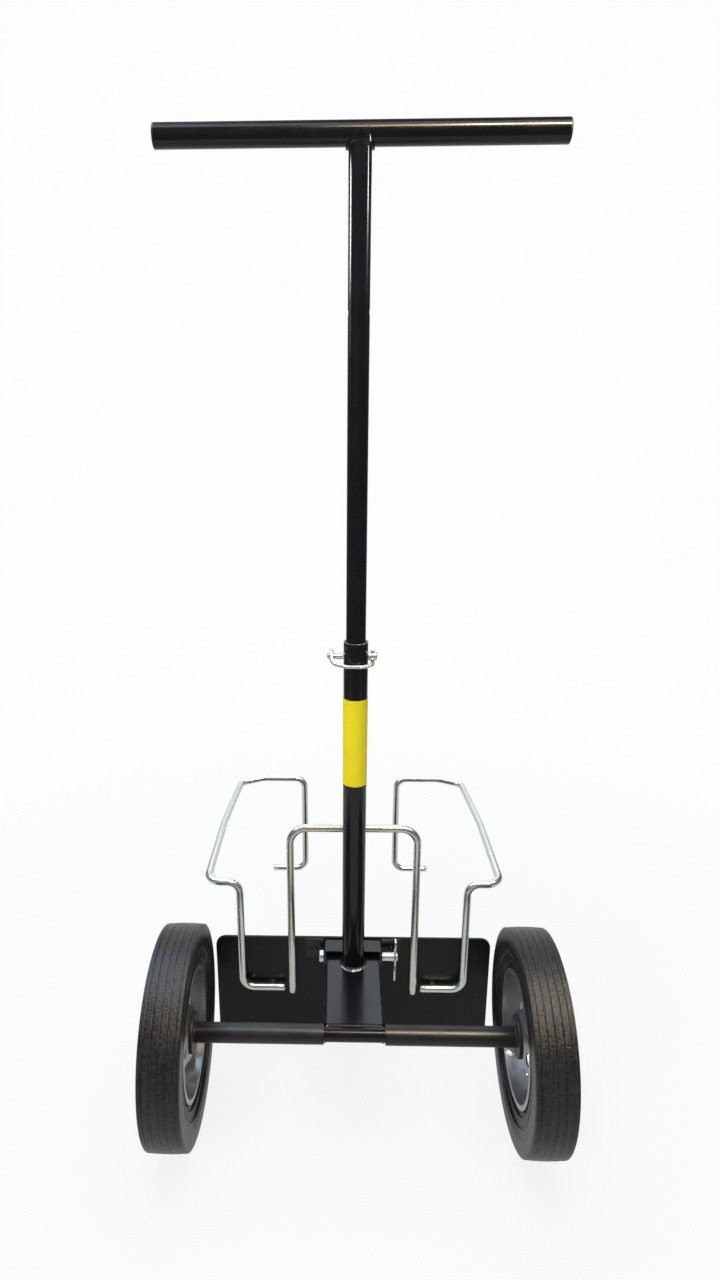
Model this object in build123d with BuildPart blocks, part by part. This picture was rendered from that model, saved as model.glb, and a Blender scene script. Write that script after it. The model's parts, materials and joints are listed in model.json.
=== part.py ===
import os
from math import cos, radians, sin, tan

from build123d import *

os.makedirs("parts", exist_ok=True)

# Fuel can cart, in millimetres. +X is the cart's right hand as its user stands behind it, +Y is forward,
# towards the can, and +Z is up. The origin is on the floor, in the middle of the cart's outline.
# The pieces are drawn square to the mast, and the whole cart then leans back about its axle, as it stands.

lean = 3.0

# Wheels
wheel_diameter = 270.0
tyre_width = 51.0
track = 457.0
tread_width = 48.0
tread_crown = 1.0
tread_grooves = 7
groove_pitch = 6.4
groove_width = 1.3
groove_depth = 1.0
shoulder_drop = 3.0
shoulder_round = 2.5
sidewall_lean = 1.0
sidewall_step = 3.0
sidewall_step_height = 12.0
bead_height = 22.0
rim_seat_diameter = 160.0
rim_wall = 2.2
rim_flange_height = 3.0
disc_wall = 2.2
disc_dish = 14.0
disc_dish_start = 30.0
disc_dish_end = 56.0
window_count = 6
window_length = 26.0
window_height = 18.0
hub_diameter = 36.0
hub_flange_diameter = 52.0
hub_flange_wall = 4.0
hub_length = 32.0
hub_inset = 5.5
hub_edge_round = 1.2
bush_wall = 2.0
bush_length = 14.0
bush_flange_wall = 1.5
bush_flange_height = 1.5

# Axle
axle_diameter = 19.05
axle_running_clearance = 0.05
axle_end = 7.5
axle_chamfer = 1.5
sleeve_wall = 3.0
sleeve_clearance = 0.15
end_play = 0.3
washer_diameter = 34.0
washer_wall = 2.0
washer_clearance = 0.3
cotter_diameter = 3.2
cotter_clearance = 0.2
cotter_eye_diameter = 8.0
cotter_wire = 1.2
cotter_tail = 9.0
cotter_spread = 35.0

# Base channel
channel_width = 80.0
channel_depth = 32.0
channel_wall = 3.0
channel_bend = 2.0
channel_rise = 10.0
channel_setback = 8.0
axle_weld_radius = 3.2

# Telescoping mast and handle
mast_from_axle = 126.0
mast_length = 488.0
mast_wall = 2.75
mast_rim_round = 1.0
tube_fit = 0.4
handle_diameter = 25.4
handle_wall = 2.1
handle_overlap = 70.0
bar_height = 1199.5
bar_diameter = 25.4
bar_wall = 2.1
bar_length = 441.0
plug_cap = 2.0
plug_round = 1.2
plug_stem = 12.0
plug_clearance = 0.1
weld_leg = 5.0
weld_bulge = 6.5
handle_weld_leg = 3.0
label_rise = 290.0
label_length = 122.0
label_wrap = 250.0
label_thickness = 0.3
label_bed = 0.1

# Lock pin and its wire
lock_pin_inset = 20.0
lock_hole_spacing = 408.5
lock_pin_diameter = 8.0
lock_hole_clearance = 0.2
lock_pin_tip = 21.0
lock_pin_chamfer = 1.5
lock_head_diameter = 11.0
lock_head_length = 11.0
lock_head_gap = 0.3
lock_head_chamfer = 1.0
keeper_diameter = 5.0
keeper_running_clearance = 0.06
keeper_gap = 1.2
keeper_head_gap = 0.5
keeper_clip_gap = 0.6
keeper_clip_inset = 6.0
keeper_bend = 3.4
keeper_lead = 9.0
keeper_front = 10.0

# Toe plate
panel_from_axle = 168.0
panel_width = 412.0
panel_height = 155.0
plate_wall = 3.5
plate_bend = 2.5
plate_corner = 15.0
shelf_depth = 195.0

# Hinge between the channel and the toe plate
hinge_from_panel = 18.0
hinge_drop = 8.0
rock_down_angle = 6.0
rock_clearance = 0.8
bracket_wall = 3.0
bracket_side_gap = 0.3
bracket_top_gap = 5.0
bracket_tail = 10.0
bracket_mast_gap = 2.5
bracket_bend = 1.0
bracket_relief = 5.0
lug_round = 8.0
flange_width = 28.0
flange_height = 32.0
flange_top_inset = 0.8
lug_margin = 11.0
rivet_diameter = 5.0
rivet_clearance = 0.1
rivet_head_diameter = 9.5
rivet_head_height = 2.6
rivet_head_round = 2.2
rivet_tail_height = 1.6
clevis_diameter = 12.7
clevis_running_clearance = 0.06
clevis_head_diameter = 17.5
clevis_head_length = 6.0
clevis_head_gap = 0.4
clevis_tail = 23.0
clevis_end = 4.0
clevis_chamfer = 1.2
clip_diameter = 3.0
clip_clearance = 0.2
clip_rise = 27.0
clip_drop = 42.0
clip_bow = 5.0
clip_neck = 4.0
clip_grip_gap = 0.1
clip_grip_angle = 22.0
clip_grip_run = 12.0
clip_flare = 7.5
clip_flare_drop = 19.0
clip_neck_bend = 8.0
clip_pinch_bend = 6.0

# Can wires
wire_diameter = 11.0
wire_standoff = 4.0
wire_bend = 17.5
wire_end_chamfer = 1.2
rest_width = 182.0
rest_height = 345.5
rest_foot = 65.0
rest_bend = 25.0
arm_foot_height = 73.5
arm_foot_inner = 102.0
arm_leg = 166.0
arm_bar_height = 256.0
arm_bar_rear = 213.5
arm_bar_bow = 211.5
arm_bar_front = 200.5
arm_reach = 322.0
arm_bow_reach = 163.0
arm_corner_setback = 19.0
arm_kink = 161.0
arm_hip_bend = 22.0
arm_bow_bend = 120.0
arm_corner_bend = 20.0
arm_kink_bend = 30.0
arm_drop = 85.0
arm_toe_height = 67.0
arm_toe = 146.0
stud_diameter = 6.0
stud_shoulder = 9.0
stud_hole_clearance = 0.25
stud_height = 136.0
rest_lower_stud = 78.0
foot_stud = 122.0
stud_proud = 1.5
nut_flats = 10.0
nut_height = 5.0
nut_flange_diameter = 13.0
nut_flange_height = 1.4

# Places that follow from the sizes
wheel_radius = wheel_diameter / 2
wire_radius = wire_diameter / 2
axle_z = wheel_radius
lean_sin = sin(radians(lean))
lean_cos = cos(radians(lean))
front_reach = (panel_from_axle + arm_reach) * lean_cos + (axle_z - arm_toe_height) * lean_sin + wire_radius
axle_y = (wheel_radius - front_reach) / 2
axle_radius = axle_diameter / 2
mast_y = axle_y + mast_from_axle
panel_y = axle_y + panel_from_axle
front_bar_y = panel_y + arm_reach
channel_top = axle_z + channel_rise
channel_bottom = channel_top - channel_depth
hinge_y = panel_y - hinge_from_panel
hinge_z = channel_top - hinge_drop
channel_rear = axle_y + channel_setback
channel_front = panel_y - (hinge_z - channel_bottom) * tan(radians(rock_down_angle)) - rock_clearance
mast_bore = handle_diameter / 2 + tube_fit
mast_radius = mast_bore + mast_wall
mast_top = channel_top + mast_length
handle_bottom = mast_top - handle_overlap
lock_z = mast_top - lock_pin_inset
spare_z = lock_z + lock_hole_spacing
lock_hole = lock_pin_diameter / 2 + lock_hole_clearance
lock_head_x = mast_radius + lock_head_gap
lock_tip_x = -mast_radius - lock_pin_tip
keeper_radius = keeper_diameter / 2
keeper_hinge_x = lock_head_x + lock_head_length / 2
lug_inner_x = channel_width / 2 + bracket_side_gap
lug_outer_x = lug_inner_x + bracket_wall
saddle_top = channel_top + bracket_top_gap + bracket_wall
saddle_rear = hinge_y - bracket_tail
lug_bottom = hinge_z - lug_margin
flange_top = panel_height - flange_top_inset
rivet_x = lug_outer_x + flange_width / 2
rivet_z = flange_top - flange_height / 2
clevis_head_x = -lug_outer_x - clevis_head_gap
clevis_end_x = lug_outer_x + clevis_tail
clip_x = clevis_end_x - clevis_end
wire_y = panel_y - wire_standoff - wire_radius
panel_foot = axle_z - (wheel_radius + panel_from_axle * lean_sin) / lean_cos
tyre_inner_x = track / 2 - tyre_width / 2
hub_inner_x = tyre_inner_x + hub_inset
hub_outer_x = hub_inner_x + hub_length
sleeve_inner_x = channel_width / 2
sleeve_outer_x = hub_inner_x - bush_flange_wall - end_play
washer_inner_x = hub_outer_x + bush_flange_wall + end_play
washer_outer_x = washer_inner_x + washer_wall
cotter_x = washer_outer_x + cotter_diameter / 2 + end_play
axle_end_x = cotter_x + axle_end
sides = (("left", -1), ("right", 1))
stud_places = [
    (out * x, z)
    for side, out in sides
    for x, z in (
        (rest_width / 2, stud_height),
        (rest_width / 2, rest_lower_stud),
        (arm_leg, stud_height),
        (foot_stud, arm_foot_height),
    )
]


def on_axle(x):
    # Plane through the axle with its X along the axle and its Y upwards
    return Plane(origin=(x, axle_y, axle_z), x_dir=(1, 0, 0), z_dir=(0, -1, 0))


def across(x, y, z):
    # Plane that looks along the cart's X, with its X forward and its Y upwards
    return Plane(origin=(x, y, z), x_dir=(0, 1, 0), z_dir=(1, 0, 0))


def level(x, y, z):
    # Level plane with its X to the right and its Y forward
    return Plane(origin=(x, y, z), x_dir=(1, 0, 0), z_dir=(0, 0, 1))


def upright(y):
    # Upright plane that looks forward, with its X to the right and its Y upwards
    return Plane(origin=(0, y, 0), x_dir=(1, 0, 0), z_dir=(0, -1, 0))


def keep(piece, name):
    # Leans the finished piece back with the rest of the cart, and writes it
    standing = piece.part.rotate(axle_line, lean)
    standing.label = name
    export_step(standing, "parts/" + name + ".step")


axle_line = Axis((0, axle_y, axle_z), (1, 0, 0))
mast_line = Axis((0, mast_y, 0), (0, 0, 1))

# Wheels: solid ribbed tyre on a rolled steel rim, a dished disc with windows welded in the rim's bore,
# a flanged hub and two plain bushes.
# A wheel's section has its X along the axle from the tyre's mid plane, and its Y is the radius.
tyre_half = tyre_width / 2
tread_half = tread_width / 2
tread_edge = wheel_radius - tread_crown
rim_seat = rim_seat_diameter / 2
rim_bore = rim_seat - rim_wall
step_half = tyre_half - sidewall_lean - sidewall_step
rim_half = step_half - sidewall_step
rim_face = rim_half + rim_wall
hub_face = hub_inset - tyre_half
disc_face = hub_face + hub_flange_wall
bush_bore = axle_radius + axle_running_clearance
bush_radius = bush_bore + bush_wall
for side, out in sides:
    mid_x = out * track / 2
    with BuildPart() as tyre:
        with BuildSketch(on_axle(mid_x)) as section:
            with BuildLine():
                ThreePointArc((-tread_half, tread_edge), (0, wheel_radius), (tread_half, tread_edge))
                for face in (-1, 1):
                    Polyline(
                        (face * tread_half, tread_edge),
                        (face * tyre_half, tread_edge - shoulder_drop),
                        (face * (tyre_half - sidewall_lean), rim_seat + bead_height),
                        (face * step_half, rim_seat + bead_height),
                        (face * step_half, rim_seat + bead_height - sidewall_step_height),
                        (face * rim_half, rim_seat + bead_height - sidewall_step_height),
                        (face * rim_half, rim_seat),
                    )
                Line((-rim_half, rim_seat), (rim_half, rim_seat))
            make_face()
            fillet(section.vertices().group_by(Axis.Y)[-2:], shoulder_round)
            with Locations((0, wheel_radius)):
                with GridLocations(groove_pitch, 0, tread_grooves, 1):
                    Rectangle(groove_width, 2 * groove_depth, mode=Mode.SUBTRACT)
        revolve(axis=axle_line)
    keep(tyre, "tyre_" + side)

    with BuildPart() as rim:
        with BuildSketch(on_axle(mid_x)):
            with Locations((0, rim_seat - rim_wall / 2)):
                Rectangle(2 * rim_face, rim_wall)
            with Locations((-rim_half - rim_wall / 2, rim_seat), (rim_half + rim_wall / 2, rim_seat)):
                Rectangle(rim_wall, 2 * rim_flange_height)
        revolve(axis=axle_line)
    keep(rim, "rim_" + side)

    with BuildPart() as wheel_disc:
        with BuildSketch(on_axle(mid_x)):
            with BuildLine():
                Polyline(
                    (out * disc_face, hub_diameter / 2),
                    (out * disc_face, disc_dish_start),
                    (out * (disc_face + disc_dish), disc_dish_end),
                    (out * (disc_face + disc_dish), rim_bore),
                    (out * (disc_face + disc_dish + disc_wall), rim_bore),
                    (out * (disc_face + disc_dish + disc_wall), disc_dish_end),
                    (out * (disc_face + disc_wall), disc_dish_start),
                    (out * (disc_face + disc_wall), hub_diameter / 2),
                    close=True,
                )
            make_face()
        revolve(axis=axle_line)
        with BuildSketch(across(mid_x, axle_y, axle_z)):
            with PolarLocations((disc_dish_start + disc_dish_end) / 2, window_count):
                SlotOverall(window_length, window_height, rotation=90)
        extrude(amount=tyre_width, both=True, mode=Mode.SUBTRACT)
    keep(wheel_disc, "wheel_disc_" + side)

    with BuildPart() as hub:
        with BuildSketch(on_axle(mid_x)):
            with BuildLine():
                Polyline(
                    (out * hub_face, bush_radius),
                    (out * hub_face, hub_flange_diameter / 2),
                    (out * disc_face, hub_flange_diameter / 2),
                    (out * disc_face, hub_diameter / 2),
                    (out * (hub_face + hub_length), hub_diameter / 2),
                    (out * (hub_face + hub_length), bush_radius),
                    close=True,
                )
            make_face()
        revolve(axis=axle_line)
        rims = hub.edges().filter_by(GeomType.CIRCLE).group_by(SortBy.RADIUS)[-1]
        fillet(rims, hub_edge_round)
    keep(hub, "hub_" + side)

    for end, flange_x, way in (("inner", hub_face, 1), ("outer", hub_face + hub_length, -1)):
        with BuildPart() as bush:
            with BuildSketch(on_axle(mid_x)):
                with BuildLine():
                    Polyline(
                        (out * (flange_x - way * bush_flange_wall), bush_bore),
                        (out * (flange_x - way * bush_flange_wall), bush_radius + bush_flange_height),
                        (out * flange_x, bush_radius + bush_flange_height),
                        (out * flange_x, bush_radius),
                        (out * (flange_x + way * bush_length), bush_radius),
                        (out * (flange_x + way * bush_length), bush_bore),
                        close=True,
                    )
                make_face()
            revolve(axis=axle_line)
        keep(bush, "bush_" + end + "_" + side)

# Axle: one bar from wheel to wheel, with a cross hole near each end for its cotter
with BuildPart() as axle_shaft:
    with BuildSketch(across(0, axle_y, axle_z)):
        Circle(axle_radius)
    extrude(amount=axle_end_x, both=True)
    chamfer(axle_shaft.edges().filter_by(GeomType.CIRCLE), axle_chamfer)
    with BuildSketch(level(0, axle_y, axle_z)):
        with Locations((-cotter_x, 0), (cotter_x, 0)):
            Circle(cotter_diameter / 2 + cotter_clearance)
    extrude(amount=axle_diameter, both=True, mode=Mode.SUBTRACT)
keep(axle_shaft, "axle_shaft")

# Sleeves between the channel and the hubs, then a washer and a cotter outside each wheel
for side, out in sides:
    with BuildPart() as sleeve:
        with BuildSketch(across(out * sleeve_inner_x, axle_y, axle_z)):
            Circle(axle_radius + sleeve_clearance + sleeve_wall)
            Circle(axle_radius + sleeve_clearance, mode=Mode.SUBTRACT)
        extrude(amount=out * (sleeve_outer_x - sleeve_inner_x))
    keep(sleeve, "spacer_sleeve_" + side)

    with BuildPart() as washer:
        with BuildSketch(across(out * washer_inner_x, axle_y, axle_z)):
            Circle(washer_diameter / 2)
            Circle(axle_radius + washer_clearance, mode=Mode.SUBTRACT)
        extrude(amount=out * washer_wall)
    keep(washer, "axle_washer_" + side)

    with BuildPart() as cotter:
        with BuildSketch(level(out * cotter_x, axle_y, axle_z)):
            Circle(cotter_diameter / 2)
        extrude(amount=axle_radius + cotter_wire, both=True)
        with Locations((out * cotter_x, axle_y, axle_z + axle_radius + cotter_eye_diameter / 2)):
            Torus(cotter_eye_diameter / 2 - cotter_wire, cotter_wire, rotation=(0, 90, 0))
        for way in (-1, 1):
            tail = Plane(
                origin=(out * cotter_x, axle_y, axle_z - axle_radius),
                x_dir=(1, 0, 0),
                z_dir=(0, way * tan(radians(cotter_spread)), -1),
            )
            with BuildSketch(tail):
                Circle(cotter_wire)
            extrude(amount=cotter_tail)
    keep(cotter, "axle_cotter_" + side)

# Upside-down channel, coped round the axle at its rear end, with holes for the clevis pin
with BuildPart() as base_channel:
    with BuildSketch(upright(channel_rear)) as section:
        with Locations((0, channel_top - channel_depth / 2)):
            Rectangle(channel_width, channel_depth)
        with Locations((0, channel_top - channel_wall - channel_depth / 2)):
            Rectangle(channel_width - 2 * channel_wall, channel_depth, mode=Mode.SUBTRACT)
        fillet(section.vertices().group_by(Axis.Y)[1], channel_bend)
        fillet(section.vertices().group_by(Axis.Y)[-1], channel_bend + channel_wall)
    extrude(amount=channel_rear - channel_front)
    with BuildSketch(across(0, axle_y, axle_z)):
        Circle(axle_radius)
    extrude(amount=channel_width, both=True, mode=Mode.SUBTRACT)
    with BuildSketch(across(0, hinge_y, hinge_z)):
        Circle(clevis_diameter / 2 + clevis_running_clearance)
    extrude(amount=channel_width, both=True, mode=Mode.SUBTRACT)
keep(base_channel, "base_channel")

# Weld that fills the corner between the axle and the channel's rear end
with BuildPart() as axle_weld:
    with BuildSketch(across(0, channel_rear - axle_weld_radius / 2, channel_top - axle_weld_radius)):
        Circle(axle_weld_radius)
    extrude(amount=channel_width / 2 - channel_bend - channel_wall, both=True)
    add(base_channel.part, mode=Mode.SUBTRACT)
    add(axle_shaft.part, mode=Mode.SUBTRACT)
keep(axle_weld, "axle_weld")

# Mast tube, with its cross hole for the lock pin
with BuildPart() as mast_tube:
    with BuildSketch(level(0, mast_y, channel_top)):
        Circle(mast_radius)
        Circle(mast_bore, mode=Mode.SUBTRACT)
    extrude(amount=mast_length)
    fillet(mast_tube.edges().filter_by(GeomType.CIRCLE).group_by(Axis.Z)[-1], mast_rim_round)
    with BuildSketch(across(0, mast_y, lock_z)):
        Circle(lock_hole)
    extrude(amount=2 * mast_radius, both=True, mode=Mode.SUBTRACT)
keep(mast_tube, "mast_tube")

with BuildPart() as mast_weld:
    with BuildSketch(Plane(origin=(0, mast_y, channel_top), x_dir=(1, 0, 0), z_dir=(0, -1, 0))):
        with BuildLine():
            Line((mast_radius, weld_leg), (mast_radius, 0))
            Line((mast_radius, 0), (mast_radius + weld_leg, 0))
            RadiusArc((mast_radius + weld_leg, 0), (mast_radius, weld_leg), -weld_bulge)
        make_face()
    revolve(axis=mast_line)
keep(mast_weld, "mast_weld")

label_start = -90 - label_wrap / 2
with BuildPart() as mast_label:
    with BuildSketch(level(0, mast_y, channel_top + label_rise)):
        with BuildLine():
            inner = CenterArc((0, 0), mast_radius + label_bed, label_start, label_wrap)
            outer = CenterArc((0, 0), mast_radius + label_bed + label_thickness, label_start, label_wrap)
            Line(inner @ 0, outer @ 0)
            Line(inner @ 1, outer @ 1)
        make_face()
    extrude(amount=label_length)
keep(mast_label, "mast_label")

# Handle: cross bar with plugged ends, on an inner tube that is coped to fit it
with BuildPart() as handle_bar:
    with BuildSketch(across(0, mast_y, bar_height)):
        Circle(bar_diameter / 2)
        Circle(bar_diameter / 2 - bar_wall, mode=Mode.SUBTRACT)
    extrude(amount=bar_length / 2, both=True)
keep(handle_bar, "handle_bar")

for side, out in sides:
    with BuildPart() as plug:
        with BuildSketch(across(out * bar_length / 2, mast_y, bar_height)):
            Circle(bar_diameter / 2)
        extrude(amount=out * plug_cap)
        cap_edge = plug.edges().filter_by(GeomType.CIRCLE).sort_by(Axis.X)
        fillet(cap_edge[-1 if out > 0 else 0], plug_round)
        with BuildSketch(across(out * bar_length / 2, mast_y, bar_height)):
            Circle(bar_diameter / 2 - bar_wall - plug_clearance)
        extrude(amount=-out * plug_stem)
    keep(plug, "handle_plug_" + side)

with BuildPart() as handle_tube:
    with BuildSketch(level(0, mast_y, handle_bottom)):
        Circle(handle_diameter / 2)
        Circle(handle_diameter / 2 - handle_wall, mode=Mode.SUBTRACT)
    extrude(amount=bar_height - handle_bottom)
    with BuildSketch(across(0, mast_y, bar_height)):
        Circle(bar_diameter / 2)
    extrude(amount=bar_length, both=True, mode=Mode.SUBTRACT)
    for hole_z in (lock_z, spare_z):
        with BuildSketch(across(0, mast_y, hole_z)):
            Circle(lock_hole)
        extrude(amount=handle_diameter, both=True, mode=Mode.SUBTRACT)
keep(handle_tube, "handle_tube")

with BuildPart() as handle_weld:
    with BuildSketch(across(0, mast_y, bar_height)):
        Circle(bar_diameter / 2 + handle_weld_leg)
        Circle(bar_diameter / 2, mode=Mode.SUBTRACT)
    extrude(amount=bar_length / 2, both=True)
    with BuildSketch(level(0, mast_y, bar_height)):
        Circle(handle_diameter / 2 + handle_weld_leg)
        Circle(handle_diameter / 2, mode=Mode.SUBTRACT)
    extrude(amount=-bar_diameter, mode=Mode.INTERSECT)
keep(handle_weld, "handle_weld")

# Lock pin through both tubes, and the spring wire that turns in its head and clips on its tip
with BuildPart() as lock_pin:
    with BuildSketch(across(lock_tip_x, mast_y, lock_z)):
        Circle(lock_pin_diameter / 2)
    extrude(amount=lock_head_x - lock_tip_x)
    chamfer(lock_pin.edges().sort_by(Axis.X)[0], lock_pin_chamfer)
    with BuildSketch(across(lock_head_x, mast_y, lock_z)):
        Circle(lock_head_diameter / 2)
    extrude(amount=lock_head_length)
    chamfer(lock_pin.edges().sort_by(Axis.X)[-1], lock_head_chamfer)
    with BuildSketch(level(keeper_hinge_x, mast_y, lock_z)):
        Circle(keeper_radius + keeper_running_clearance)
    extrude(amount=lock_head_diameter, both=True, mode=Mode.SUBTRACT)
keep(lock_pin, "lock_pin")

keeper_z = lock_z - lock_head_diameter / 2 - keeper_head_gap - keeper_radius
keeper_y = mast_y - mast_radius - keeper_gap - keeper_radius
clip_reach = lock_pin_diameter / 2 + keeper_clip_gap + keeper_radius
keeper_tip_x = lock_tip_x + keeper_clip_inset
with BuildPart() as lock_pin_keeper:
    with BuildLine() as route:
        FilletPolyline(
            (keeper_hinge_x, mast_y, lock_z + lock_head_diameter / 2 + keeper_radius),
            (keeper_hinge_x, mast_y, keeper_z),
            (keeper_hinge_x, mast_y - keeper_lead, keeper_z),
            (keeper_front, keeper_y, keeper_z),
            (-keeper_front, keeper_y, keeper_z),
            (keeper_tip_x, mast_y - clip_reach - keeper_lead, keeper_z),
            (keeper_tip_x, mast_y - clip_reach, keeper_z),
            (keeper_tip_x, mast_y - clip_reach, lock_z + clip_reach),
            (keeper_tip_x, mast_y + keeper_radius, lock_z + clip_reach),
            radius=keeper_bend,
        )
    with BuildSketch(Plane(origin=route.line @ 0, z_dir=route.line % 0)):
        Circle(keeper_radius)
    sweep()
keep(lock_pin_keeper, "lock_pin_keeper")

# Toe plate: one bent plate, an upright panel behind the can and a shelf under it
with BuildPart() as toe_plate:
    with BuildSketch(across(0, panel_y, panel_foot)):
        with BuildLine():
            FilletPolyline(
                (0, panel_height - panel_foot),
                (0, 0),
                (shelf_depth * lean_cos, -shelf_depth * lean_sin),
                radius=plate_bend + plate_wall,
            )
            offset(amount=plate_wall, side=Side.LEFT)
        make_face()
    extrude(amount=panel_width / 2, both=True)
    fillet(toe_plate.edges().filter_by(Axis.Y).group_by(Axis.Z)[-1], plate_corner)
    front_face = toe_plate.faces().sort_by(Axis.Y)[-1]
    fillet(front_face.edges().filter_by(Axis.X, reverse=True), plate_corner)
    with BuildSketch(upright(panel_y)):
        with Locations(*stud_places):
            Circle(stud_diameter / 2 + stud_hole_clearance)
        with Locations((-rivet_x, rivet_z), (rivet_x, rivet_z)):
            Circle(rivet_diameter / 2 + rivet_clearance)
    extrude(amount=plate_wall, both=True, mode=Mode.SUBTRACT)
keep(toe_plate, "toe_plate")

# Saddle bracket: a top web and two lugs over the channel's end, with a flange each side on the panel
with BuildPart() as hinge_bracket:
    with BuildSketch(upright(panel_y)) as section:
        with Locations((0, (saddle_top + lug_bottom) / 2)):
            Rectangle(2 * lug_outer_x, saddle_top - lug_bottom)
        with Locations((0, (saddle_top + lug_bottom) / 2 - bracket_wall)):
            Rectangle(2 * lug_inner_x, saddle_top - lug_bottom, mode=Mode.SUBTRACT)
        fillet(section.vertices().group_by(Axis.Y)[1], bracket_bend)
        fillet(section.vertices().group_by(Axis.Y)[-1], bracket_bend + bracket_wall)
    extrude(amount=panel_y - saddle_rear)
    with BuildSketch(across(0, saddle_rear, lug_bottom)):
        Rectangle(lug_round, lug_round, align=(Align.MIN, Align.MIN))
        with Locations((lug_round, lug_round)):
            Circle(lug_round, mode=Mode.SUBTRACT)
    extrude(amount=lug_outer_x, both=True, mode=Mode.SUBTRACT)
    with BuildSketch(level(0, panel_y, saddle_top - bracket_bend - bracket_wall)):
        for way in (-1, 1):
            with BuildLine():
                Polyline(
                    (way * lug_outer_x, 0),
                    (way * (lug_outer_x - bracket_relief), 0),
                    (way * lug_outer_x, -bracket_relief),
                    close=True,
                )
            make_face()
    extrude(amount=bracket_bend + bracket_wall, mode=Mode.SUBTRACT)
    with BuildSketch(level(0, mast_y, channel_top)):
        Circle(mast_radius + bracket_mast_gap)
    extrude(amount=mast_length, mode=Mode.SUBTRACT)
    with BuildSketch(upright(panel_y)):
        with Locations((-rivet_x, rivet_z), (rivet_x, rivet_z)):
            Rectangle(flange_width, flange_height)
    extrude(amount=bracket_wall)
    with BuildSketch(upright(panel_y)):
        with Locations((-rivet_x, rivet_z), (rivet_x, rivet_z)):
            Circle(rivet_diameter / 2 + rivet_clearance)
    extrude(amount=bracket_wall, mode=Mode.SUBTRACT)
    with BuildSketch(across(0, hinge_y, hinge_z)):
        Circle(clevis_diameter / 2 + clevis_running_clearance)
    extrude(amount=2 * lug_outer_x, both=True, mode=Mode.SUBTRACT)
keep(hinge_bracket, "hinge_bracket")

with BuildPart() as bracket_rivets:
    with BuildSketch(upright(panel_y + plate_wall)):
        with Locations((-rivet_x, rivet_z), (rivet_x, rivet_z)):
            Circle(rivet_diameter / 2)
    extrude(amount=plate_wall + bracket_wall)
    with BuildSketch(upright(panel_y - bracket_wall)):
        with Locations((-rivet_x, rivet_z), (rivet_x, rivet_z)):
            Circle(rivet_head_diameter / 2)
    extrude(amount=rivet_head_height)
    fillet(bracket_rivets.edges().group_by(Axis.Y)[0], rivet_head_round)
    with BuildSketch(upright(panel_y + plate_wall)):
        with Locations((-rivet_x, rivet_z), (rivet_x, rivet_z)):
            Circle(rivet_head_diameter / 2)
    extrude(amount=-rivet_tail_height)
keep(bracket_rivets, "bracket_rivets")

# Clevis pin with its head on the left, and the wire clip through its right end
with BuildPart() as clevis_pin:
    with BuildSketch(across(clevis_head_x, hinge_y, hinge_z)):
        Circle(clevis_diameter / 2)
    extrude(amount=clevis_end_x - clevis_head_x)
    chamfer(clevis_pin.edges().sort_by(Axis.X)[-1], clevis_chamfer)
    with BuildSketch(across(clevis_head_x, hinge_y, hinge_z)):
        Circle(clevis_head_diameter / 2)
    extrude(amount=-clevis_head_length)
    fillet(clevis_pin.edges().sort_by(Axis.X)[0], clevis_chamfer)
    with BuildSketch(level(clip_x, hinge_y, hinge_z)):
        Circle(clip_diameter / 2 + clip_clearance)
    extrude(amount=clevis_diameter, both=True, mode=Mode.SUBTRACT)
keep(clevis_pin, "clevis_pin")

grip_bend = (clevis_diameter + clip_diameter) / 2 + clip_grip_gap
grip_x = -grip_bend / cos(radians(clip_grip_angle))
pinch_x = grip_x + clip_grip_run * sin(radians(clip_grip_angle))
pinch_z = clip_grip_run * cos(radians(clip_grip_angle))
with BuildPart() as hairpin_clip:
    with BuildLine(across(clip_x, hinge_y, hinge_z)) as route:
        Line((0, -clip_drop), (0, clip_rise))
        CenterArc((-clip_bow, clip_rise), clip_bow, 0, 180)
        FilletPolyline(
            (-2 * clip_bow, clip_rise),
            (-2 * clip_bow, clip_rise - clip_neck),
            (pinch_x, pinch_z),
            (grip_x, 0),
            (pinch_x, -pinch_z),
            (-clip_flare, -clip_flare_drop),
            radius=(clip_neck_bend, clip_pinch_bend, grip_bend, clip_pinch_bend),
        )
    with BuildSketch(Plane(origin=route.line @ 0, z_dir=route.line % 0)):
        Circle(clip_diameter / 2)
    sweep()
keep(hairpin_clip, "hairpin_clip")

# Can wires: an upright U behind the can, and an arm that goes round it on each side
with BuildPart() as back_rest_wire:
    with BuildLine(upright(wire_y)) as route:
        FilletPolyline(
            (-rest_width / 2, rest_foot),
            (-rest_width / 2, rest_height),
            (rest_width / 2, rest_height),
            (rest_width / 2, rest_foot),
            radius=rest_bend,
        )
    with BuildSketch(Plane(origin=route.line @ 0, z_dir=route.line % 0)):
        Circle(wire_radius)
    sweep()
    chamfer(back_rest_wire.faces().filter_by(GeomType.PLANE).edges(), wire_end_chamfer)
keep(back_rest_wire, "back_rest_wire")

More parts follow.
